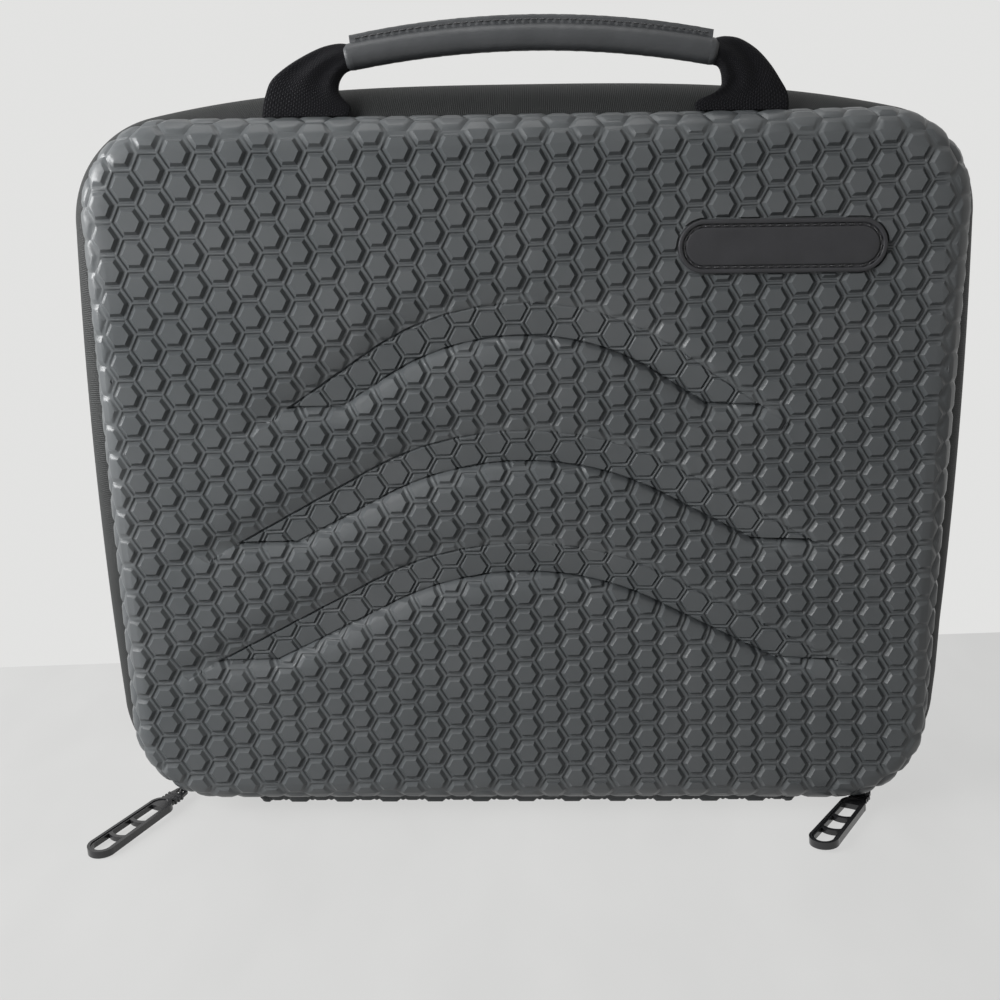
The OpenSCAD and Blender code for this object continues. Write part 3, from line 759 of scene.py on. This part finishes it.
def lining(half, face):
    """Knitted lining, drawn as its inner surface with a solidified back."""
    lines = Outlines()
    for way in [-FLAT_R * 0.98 + 4 * k for k in range(8)] + ROLL_WAYS:
        lines.add(rounded(HALF_W - EDGE_R + way, HALF_H - EDGE_R + way, FLAT_R + way, 12))
    lines.pts += [Vector((x, z)) for x in range(-150, 151, 15) for z in range(-123, 124, 15)
                  if way_out(x, z) < -FLAT_R]
    flat, tris = lines.triangles(lambda u, v: True)
    verts = [face_point(u, v, -WALL + 0.02, face) for u, v in flat]
    faces = [f if face > 0 else f[::-1] for f in tris]
    obj = build(half + "_lining_cloth", verts, faces, LINING, half + "_half", closed=False)
    mod = obj.modifiers.new("thickness", "SOLIDIFY")
    mod.thickness = 0.9 * MM
    mod.offset = -1
    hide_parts(half + "_lining")


def edge_binding(half, face):
    """Tape folded over the raw edge of a half."""
    inset, half_w, thick = 5.15, 1.85, 1.15
    section = [(math.copysign(abs(math.cos(a)) ** 0.5, math.cos(a)) * half_w,
                (math.copysign(abs(math.sin(a)) ** 0.6, math.sin(a)) + 1) / 2 * thick)
               for a in (2 * math.pi * k / 12 for k in range(12))]
    path = rounded(HALF_W - inset, HALF_H - inset, CORNER_R - inset, 20)
    rings, cloth, run = [], [], 0.0
    for i, (x, z) in enumerate(path):
        nx, nz = x - clamp(x, -FLAT_X, FLAT_X), z - clamp(z, -FLAT_Z, FLAT_Z)
        r = math.hypot(nx, nz)
        run += math.hypot(x - path[i - 1][0], z - path[i - 1][1]) if i else 0
        rings.append([(x + nx / r * a, face * (SEAM_Y - b), MID_Z + z + nz / r * a)
                      for a, b in section])
        cloth += [(run, k * 0.6) for k in range(len(section))]
    verts, faces = loft(rings, loop=True)
    obj = build(half + "_edge_binding", verts, faces, WEB, half + "_half", cloth)
    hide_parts(half + "_binding")


# ---- zip band ----
def corner_path(cx, cz, r, start, end):
    return [(cx + r * math.cos(a), cz + r * math.sin(a))
            for a in (math.radians(mix(start, end, k / CORNER_STEPS))
                      for k in range(CORNER_STEPS + 1))]


def band_path(hw, low, high, r, crown, belly):
    """Rounded path whose top rises by crown and whose sides swell by belly."""
    tilt = math.atan(3 * crown / (hw - r * 0.8))
    half, shoulder = hw - r + r * math.sin(tilt), high - r + r * math.cos(tilt)
    tilt = math.degrees(tilt)
    side = [(hw + belly * (1 - v * v), (low + high) / 2 + v * ((high - low) / 2 - r))
            for v in (2 * k / SIDE_STEPS - 1 for k in range(1, SIDE_STEPS))]
    top = [(u * half, shoulder + crown * (1 - abs(u) ** 3))
           for u in (2 * k / TOP_STEPS - 1 for k in range(1, TOP_STEPS))]
    return ([(-ZIP_START, low)] + corner_path(-hw + r, low + r, r, 270, 180)
            + [(-x, z) for x, z in side]
            + corner_path(-hw + r, high - r, r, 180, 90 + tilt) + top
            + corner_path(hw - r, high - r, r, 90 - tilt, 0) + side[::-1]
            + corner_path(hw - r, low + r, r, 0, -90) + [(ZIP_START, low)])


def crest_path(inset):
    """The band's crest; above the slider's way its right side gives room to the swollen rim."""
    path = band_path(CREST_HW - inset, CREST_LOW + inset, CREST_TOP - inset, CREST_R - inset,
                     TOP_CROWN, SIDE_CROWN)
    beside, above, over = 150, 62, 20
    return [(x - EDGE_SWELL * clamp((x - beside) / 30, 0, 1) * clamp((z - above) / over, 0, 1), z)
            for x, z in path]


SEAM = band_path(HALF_W - SEW_LAP, LOW_Z + SEW_LAP, TOP_Z - SEW_LAP, CORNER_R - SEW_LAP, 0, 0)
CREST, UNDER = crest_path(0), crest_path(TAPE_T)
LEFT_END, RIGHT_END = 13, len(CREST) - 12        # where the rear tape's closed ends begin


def tape(first, last, side, steps=14):
    """Points, faces and cloth coordinates of one tape between two stations."""
    reach = SEAM_Y - EDGE
    rings, cloth, run = [], [], 0.0
    for i in range(first, last + 1):
        if i > first:
            run += math.dist(CREST[i], CREST[i - 1])
        ring, uv = [], []
        for target, depth, order in ((CREST, reach, range(steps + 1)),
                                     (UNDER, reach - TAPE_T, range(steps, -1, -1))):
            for k in order:
                a = math.pi / 2 * k / steps
                x, z = (mix(SEAM[i][c], target[i][c], math.sin(a)) for c in (0, 1))
                ring.append((x, side * (EDGE + depth * math.cos(a)), z))
                uv.append((run, a * 12))
        rings.append(ring)
        cloth += uv
    verts, faces = loft(rings)
    return verts, faces, cloth


def coil(first, last, side):
    """Spiral of nylon along the edge of a tape."""
    centre = crest_path(TAPE_T + COIL_DROP + COIL_D / 2)
    outer = crest_path(TAPE_T + COIL_DROP)
    pitch, wire = 1.5, 0.24
    points, run = [], 0.0
    for i in range(first, last):
        a, b = Vector(centre[i]), Vector(centre[i + 1])
        na, nb = Vector(outer[i]) - a, Vector(outer[i + 1]) - b
        length = (b - a).length
        steps = max(1, round(length / pitch * 7))
        for k in range(steps):
            t = k / steps
            turn = 2 * math.pi * (run + length * t) / pitch
            p, n = a.lerp(b, t), na.lerp(nb, t).normalized()
            p = p + n * (math.sin(turn) * (COIL_D / 2 - wire))
            y = EDGE + COIL_D / 2 + math.cos(turn) * (COIL_D / 2 - wire)
            points.append((p[0], side * y, p[1]))
        run += length
    return tube(points, wire, 5)


def zip_pieces(half, side, first, last):
    """Tape and coil of one half."""
    verts, faces, cloth = tape(first, last, side)
    band = build(half + "_band", verts, faces, BAND, half + "_half", cloth)
    row = build(half + "_coil", *coil(first, last, side), ENAMEL, half + "_half")
    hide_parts(half + "_zip_tape")
    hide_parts(half + "_zip_coil")


def rear_ends():
    """Closed ends of the rear tape, beside the hinge strip."""
    last = len(CREST) - 1
    for label, first, end in (("left", 0, LEFT_END), ("right", RIGHT_END, last)):
        verts, faces, cloth = tape(first, end, 1)
        band = build(label + "_rear_end", verts, faces, BAND, None, cloth)
        row = build(label + "_rear_end_coil", *coil(first, end, 1), ENAMEL)
        for obj in (band, row):
            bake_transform(obj)
            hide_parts("rear_zip_ends")


# ---- hinge strip ----
def hinge_skin(half, side):
    """Half of the strip with its pads, up over the fold to the edge of the moulded half."""
    hx, out, bend_r, low = STRIP_HALF_X, SEAM_Y - 0.05, 1.0, 0.75
    strip_y, arc = out - bend_r, bend_r * math.pi / 2

    def place(w, lift):
        """Point (y, z) at a way along the section, lift outwards."""
        if w <= strip_y:
            return w, low - lift
        if w <= strip_y + arc:
            a, r = (w - strip_y) / bend_r, bend_r + lift
            return strip_y + r * math.sin(a), low + bend_r - r * math.cos(a)
        return out + lift * 0.4, low + bend_r + w - strip_y - arc

    top = strip_y + arc + LOW_Z + SEW_LAP - low - bend_r
    lines = Outlines()
    lines.add([(-hx, 0), (hx, 0), (hx, top), (-hx, top)])
    for k in range(7):
        w = strip_y + arc * k / 6
        lines.add([(-hx, w), (hx, w)], closed=False)
    scale = COLUMN * PITCH
    for col in range(-12, 13):
        for row in range(-1, 3):
            lines.add_hexagons((col * scale, (row + col % 2 / 2) * PITCH))
    flat, faces = lines.triangles(lambda u, w: abs(u) < hx and 0 < w < top)

    def height(u, w):
        """Height of the strip's pads, which are flatter than those of the face."""
        best, guess = PITCH, round(u / scale)
        for col in (guess - 1, guess, guess + 1):
            row = round(w / PITCH - col % 2 / 2) + col % 2 / 2
            best = min(best, pad_distance(u - col * scale, w - row * PITCH))
        return 0.7 - 1.2 * (0.55 - along_profile(best, PROFILE)) / 1.55

    def cut(u, z):
        """Rounds the strip's ends towards the fold."""
        end, loss = 12, 5
        over = abs(u) - (hx - end)
        if over <= 0:
            return u
        return math.copysign(hx - end + over * (end - loss * clamp(1 - z / 7, 0, 1) ** 1.5) / end,
                             u)

    verts = []
    for u, w in flat:
        y, z = place(w, height(u, w))
        verts.append((cut(u, z), side * y, z))
    for u, w in flat:
        if w <= strip_y:
            y, z = w, 2.1
        elif w <= strip_y + arc:
            y, z = place(w, -0.9)
            z = max(z, 1.7)
        else:
            y, z = place(w, 0)
            y -= 1.1
        verts.append((cut(u, z), side * y, z))
    obj = build("hinge_" + half, verts, with_back(faces, len(flat)), SKIN)
    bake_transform(obj)
    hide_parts("hinge_strip", half + "_hinge_flange")


def strip_lining():
    """Knitted back of the hinge strip, inside the case."""
    hx, hy = STRIP_HALF_X - 2, STRIP_HALF_Y - 1.5
    section = [(y, 2.2) for y in (hy, 0, -hy)]
    section += [(y * hy, 2.25 + 0.75 * (1 - abs(y) ** 6)) for y in (-1, -0.9, -0.6, 0, 0.6, 0.9, 1)]
    rings = [[(mix(-hx, hx, k / 40), y, z) for y, z in section] for k in range(41)]
    obj = build("strip_back", *loft(rings), STRIP_BACK, "spine")
    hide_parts("hinge_strip_lining")


# ---- badge ----
def badge():
    """Rubber badge: a raised rim, a sewn groove and a bare field."""
    base = SEAM_Y + DEPTH
    rings = [[(x, -(base + high), z)
              for x, z in pill(BADGE_X, BADGE_Z + MID_Z, BADGE_W + grow, BADGE_H + grow)]
             for grow, high in BADGE_RINGS]
    obj = build("badge_pad", *loft(rings), RUBBER, "front_half")
    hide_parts("badge")
    path = pill(BADGE_X, BADGE_Z + MID_Z, BADGE_W - STITCH_LINE, BADGE_H - STITCH_LINE, 40)
    dense = []
    for i, p in enumerate(path):
        q = path[(i + 1) % len(path)]
        steps = max(1, round(math.dist(p, q) / 0.5))
        dense += [(mix(p[0], q[0], k / steps), mix(p[1], q[1], k / steps)) for k in range(steps)]
    run, stitches, current = 0.0, [], []
    for i, p in enumerate(dense):
        run += math.dist(p, dense[i - 1]) if i else 0
        part = run % STITCH_PITCH / STITCH
        if part < 1:
            current.append((p[0], -(base + 0.72 + 0.3 * math.sin(math.pi * part)), p[1]))
            continue
        if len(current) > 2:
            stitches.append(current)
        current = []
    seam = build("badge_stitches", *join([tube(s, 0.26, 6) for s in stitches]), THREAD,
                 "front_half")


# ---- handle ----
def grip_centre(s):
    """Point of the grip's arch, its along and its up direction; s runs from -1 to 1."""
    radius = ((GRIP_LEN / 2) ** 2 + GRIP_RISE ** 2) / (2 * GRIP_RISE)
    a = s * math.asin(GRIP_LEN / 2 / radius)
    up = Vector((math.sin(a), 0, math.cos(a)))
    centre = Vector((GRIP_X, HANDLE_Y, GRIP_Z + GRIP_RISE - radius)) + up * radius
    return centre, Vector((math.cos(a), 0, -math.sin(a))), up


def grip():
    """Leather wrapped round the core, its two edges sewn together in a flap on top."""
    def section(s):
        flap = 3.0 - 0.35 * abs(s) ** 3 if abs(s) < FLAP_END else 0.0
        pts = [(1.15, 4.4), (1.05, 4.9 + flap * 0.5), (1.0, 4.9 + flap), (0.15, 5.0 + flap),
               (0.05, 4.7 + flap), (-0.1, 5.0 + flap), (-1.0, 4.9 + flap),
               (-1.05, 4.9 + flap * 0.5), (-1.2, 4.5)]
        arc = [(GRIP_R * math.sin(a), GRIP_R * math.cos(a))
               for a in (math.radians(mix(-18, -342, k / 30)) for k in range(31))]
        return pts + arc

    rings, cloth = [], []
    stations = sorted([mix(-1, 1, k / 96) for k in range(97)]
                      + [side * (FLAP_END + step) for side in (-1, 1) for step in (-0.001, 0.002)])
    for k, s in enumerate(stations):
        centre, along, up = grip_centre(s)
        pinch = 1 - 0.06 * math.exp(-((1 - abs(s)) / 0.02) ** 2)
        wrinkle = 0.07 * math.sin(k * 1.9) * math.sin(k * 0.53)
        rings.append([centre + Vector((0, -y * pinch, 0)) + up * (z * pinch + wrinkle)
                      for y, z in section(s)])
        cloth += [(k * 1.5, j * 0.9) for j in range(len(rings[-1]))]
    verts, faces = loft(rings)
    obj = build("grip_wrap", verts, faces, LEATHER, "handle", cloth)
    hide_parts("handle_grip", "handle_core")

    parts = []
    for side in (-1, 1):
        for k in range(46):
            s0 = mix(-0.94, 0.94, (k + 0.14) / 46)
            s1 = mix(-0.94, 0.94, (k + 0.86) / 46)
            line = []
            for j in range(7):
                centre, _, up = grip_centre(mix(s0, s1, j / 6))
                bow = math.sin(math.pi * j / 6)
                line.append(centre + Vector((0, side * (1.0 + 0.16 * bow), 0)) + up * 6.1)
            parts.append(tube(line, 0.24, 6))
    seam = build("grip_stitches", *join(parts), THREAD, "handle")


def smooth_rows(rows, count):
    """Catmull-Rom through rows of numbers."""
    out = []
    for k in range(count):
        t = k / (count - 1) * (len(rows) - 1)
        i = min(int(t), len(rows) - 2)
        f = t - i
        p = [rows[clamp(i + d, 0, len(rows) - 1)] for d in (-1, 0, 1, 2)]
        out.append([0.5 * (2 * b + (c - a) * f + (2 * a - 5 * b + 4 * c - d) * f * f
                           + (3 * b - a - 3 * c + d) * f ** 3)
                    for a, b, c, d in zip(*p)])
    return out


def webbing_side(side):
    """Webbing gathered from its flat sewn foot up into the end of the grip."""
    # Rows of inner x, z, outer x, z and thickness, from the grip down to the foot.
    rows = [
        (72.5, 313.6, 73.6, 323.0, 8.6), (75.0, 312.9, 77.5, 323.6, 8.5),
        (76.2, 311.2, 83.2, 322.6, 7.6), (76.8, 308.6, 89.6, 318.8, 6.6),
        (76.6, 305.8, 95.0, 313.4, 5.4), (73.4, 303.2, 99.0, 307.9, 4.4),
        (68.6, 301.2, 101.8, 303.6, 3.5), (66.8, 299.4, 102.8, 300.0, 3.0),
        (67.4, 296.9, 102.8, 296.9, 2.8)] if side > 0 else [
        (64.5, 313.6, 65.6, 323.0, 8.6), (67.0, 312.6, 69.5, 323.2, 8.5),
        (68.8, 310.6, 75.8, 321.9, 7.6), (69.8, 308.2, 83.4, 318.6, 6.6),
        (69.8, 305.6, 90.4, 314.6, 5.4), (68.2, 303.2, 95.8, 310.2, 4.4),
        (66.0, 301.0, 98.4, 305.0, 3.5), (65.6, 299.4, 99.8, 300.2, 3.0),
        (66.6, 296.9, 100.2, 296.9, 2.8)]
    n = 40
    rings, cloth, run = [], [], 0.0
    table = smooth_rows(rows, 44)
    for i, (xi, zi, xo, zo, thick) in enumerate(table):
        if i:
            run += math.hypot((xi + xo - last[0]) / 2, (zi + zo - last[1]) / 2)
        last = (xi + xo, zi + zo)
        cx, cz, w = (xi + xo) / 2, (zi + zo) / 2, math.hypot(xo - xi, zo - zi) / 2
        ax, az = (xo - xi) / (2 * w), (zo - zi) / (2 * w)
        t = i / (len(table) - 1)
        fold = 0.75 * math.sin(math.pi * clamp(t * 1.25, 0, 1)) ** 1.5
        power = mix(1.0, 0.32, clamp(t * 1.6, 0, 1))
        ring = []
        for k in range(n):
            a = 2 * math.pi * k / n
            u = math.copysign(abs(math.cos(a)) ** mix(1, 0.75, t), math.cos(a))
            y = math.copysign(abs(math.sin(a)) ** power, math.sin(a)) * thick / 2
            y += fold * math.sin(u * 7.5 + side * 0.7 + t * 2.0) * abs(math.sin(a)) ** 0.5 * (
                1 if math.sin(a) > 0 else -1)
            ring.append((side * (cx + ax * w * u), HANDLE_Y + y, cz + az * w * u))
            cloth.append((run, u * 18.5 + (60 if math.sin(a) < 0 else 0)))
        rings.append(ring)
    verts, faces = loft(rings)
    label = "left" if side < 0 else "right"
    obj = build("webbing_" + label, verts, faces, WEB, None, cloth)
    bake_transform(obj)
    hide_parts("handle_webbing_" + label, "handle_tabs")


# ---- inside ----
def corner_straps():
    """Elastic straps across the corners of the rear half."""
    inset, from_corner, half = 7.1, 73.0, 12.5
    hx, hz = HALF_W - inset, HALF_H - inset
    root = math.sqrt(0.5)
    for sx, sz in ((-1, -1), (1, -1), (-1, 1), (1, 1)):
        rings, cloth = [], []
        steps = 36
        for k in range(steps + 1):
            ring, back, uv = [], [], []
            for j in range(11):
                o = mix(-half, half, j / 10)
                cx = HALF_W - from_corner * root + o * root
                cz = HALF_H - from_corner * root + o * root
                reach = (hx - cx) / root, (hz - cz) / root
                s = mix(-reach[1], reach[0], k / steps)
                x, z = cx + s * root, cz - s * root
                hem = 0.18 if abs(o) > half - 2.2 else 0.0
                arch = 0.9 * math.sin(math.pi * k / steps)
                ring.append((sx * x, 15.05 - hem * 0.5 - arch * 0.5, MID_Z + sz * z))
                back.append((sx * x, 16.15 + hem * 0.3 - arch * 0.5, MID_Z + sz * z))
                uv.append((s, o))
            rings.append(ring + back[::-1])
            cloth += uv + uv[::-1]
        verts, faces = loft(rings)
        label = ("low" if sz < 0 else "high") + ("_left" if sx < 0 else "_right")
        obj = build("strap_" + label, verts, faces, WEB, "rear_half", cloth)
        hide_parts("corner_straps")


def pocket():
    """Net panel across the lower part of the front half, with a bound elastic edge."""
    inset, top = 7.1, 38.0
    low = -HALF_H + inset

    def rows(vs, y_front, y_back, cols, sag):
        front, back, cloth = [], [], []
        for v in vs:
            w = outline_half(v, inset)
            for j in range(cols + 1):
                s = 2 * j / cols - 1
                dip = sag * (1 - s * s) * math.sin(math.pi * clamp((v - low) / (top - low), 0, 1))
                front.append((s * w, y_front + dip, MID_Z + v))
                back.append((s * w, y_back + dip, MID_Z + v))
                cloth.append((s * w, v))
        m = cols + 1
        faces = [(q, q + 1, q + m + 1, q + m) for i in range(len(vs) - 1)
                 for q in range(i * m, i * m + cols)]
        return front + back, with_back(faces, len(front)), cloth + cloth

    vs = [low + 0.01 + (33 * (1 - math.cos(math.pi / 2 * k / 10))) for k in range(11)]
    vs += [mix(low + 33, top - 1, k / 14) for k in range(1, 15)]
    verts, faces, cloth = rows(vs, -15.05, -15.75, 40, 0.5)
    panel = build("pocket_net", verts, faces, NET, "front_half", cloth)
    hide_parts("lid_pocket")
    verts, faces, cloth = rows([26, 27, 28.5, 32, 35.5, 37, 38], -14.25, -15.0, 40, 0.25)
    edge = build("pocket_edge", verts, faces, WEB, "front_half", cloth)
    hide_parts("lid_pocket_edge")


# ---- rigid trim that stays as the frame has it ----
def dress_frame():
    both, halves = ("left_", "right_"), ("front_", "rear_")
    for places, what, material, width in (
            (both, "pull", PLASTIC, 0.35), (both, "slider", ENAMEL, 0.25),
            (both, "link", ENAMEL, 0), (halves, "zip_stops", ENAMEL, 0.15)):
        for place in places:
            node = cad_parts[place + what]
            for slot in node.material_slots:
                slot.material = material
            if width:
                bevel(node, width)


studio()
for make in (moulding, lining, edge_binding):
    make("front", -1)
    make("rear", 1)
zip_pieces("front", -1, 0, len(CREST) - 1)
zip_pieces("rear", 1, LEFT_END, RIGHT_END)
rear_ends()
hinge_skin("front", -1)
hinge_skin("rear", 1)
strip_lining()
badge()
grip()
webbing_side(-1)
webbing_side(1)
corner_straps()
pocket()
dress_frame()
